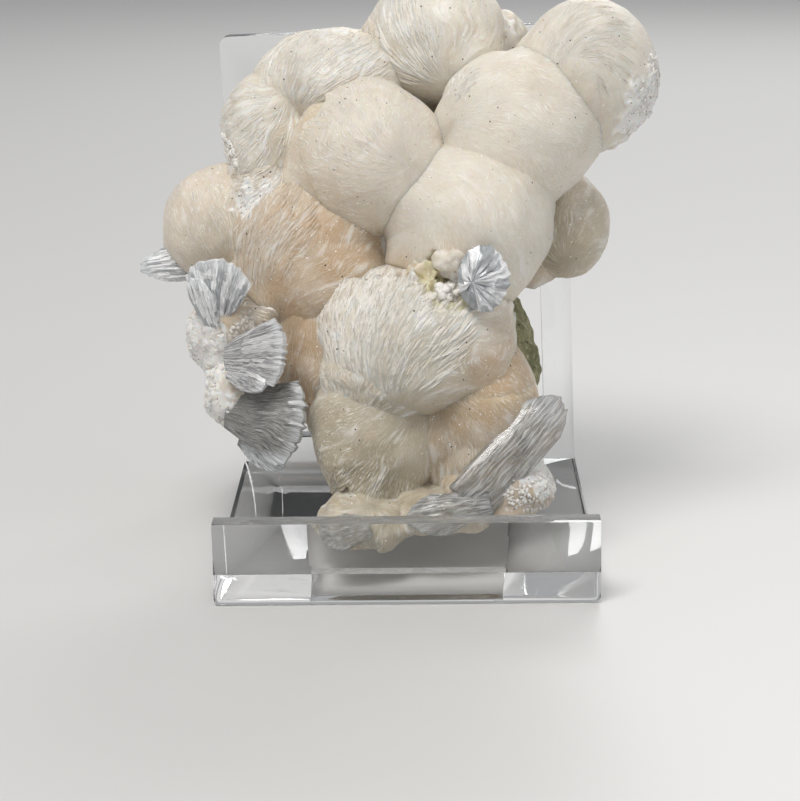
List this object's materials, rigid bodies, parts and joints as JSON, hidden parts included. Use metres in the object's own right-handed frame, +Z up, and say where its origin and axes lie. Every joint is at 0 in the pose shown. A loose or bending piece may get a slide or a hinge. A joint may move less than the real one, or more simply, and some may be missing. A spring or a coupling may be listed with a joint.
{
  "type": "mineral specimen in display stand",
  "caption": "Cluster of fused fibrous gyrolite balls with clear apophyllite sheaves, leaning in a clear acrylic stand with a lip, an open base and an upright back plate",
  "frame": {"origin": "centre of the stand's footprint, on the table", "axes": "+Z up, +X to the right seen from the front lip, +Y from the lip towards the back plate"},
  "size_m": [0.0863, 0.07, 0.0934],
  "materials": {
    "acrylic": "clear cast acrylic sheet with polished edges",
    "gyrolite": "cream to peach fibrous mineral with a satin lustre",
    "rock": "dull, granular olive-green basalt",
    "apophyllite": "clear, silvery striated crystal"
  },
  "bodies": {
    "root": {"display_stand": "acrylic", "gyrolite_cluster": "gyrolite", "matrix_rock": "rock", "apophyllite_left_point": "apophyllite", "apophyllite_upper_left_fan": "apophyllite", "apophyllite_middle_left_fan": "apophyllite", "apophyllite_lower_left_fan": "apophyllite", "apophyllite_right_blade": "apophyllite", "apophyllite_foot_left": "apophyllite", "apophyllite_foot_centre": "apophyllite", "apophyllite_rosette": "apophyllite"}
  },
  "joints": []
}
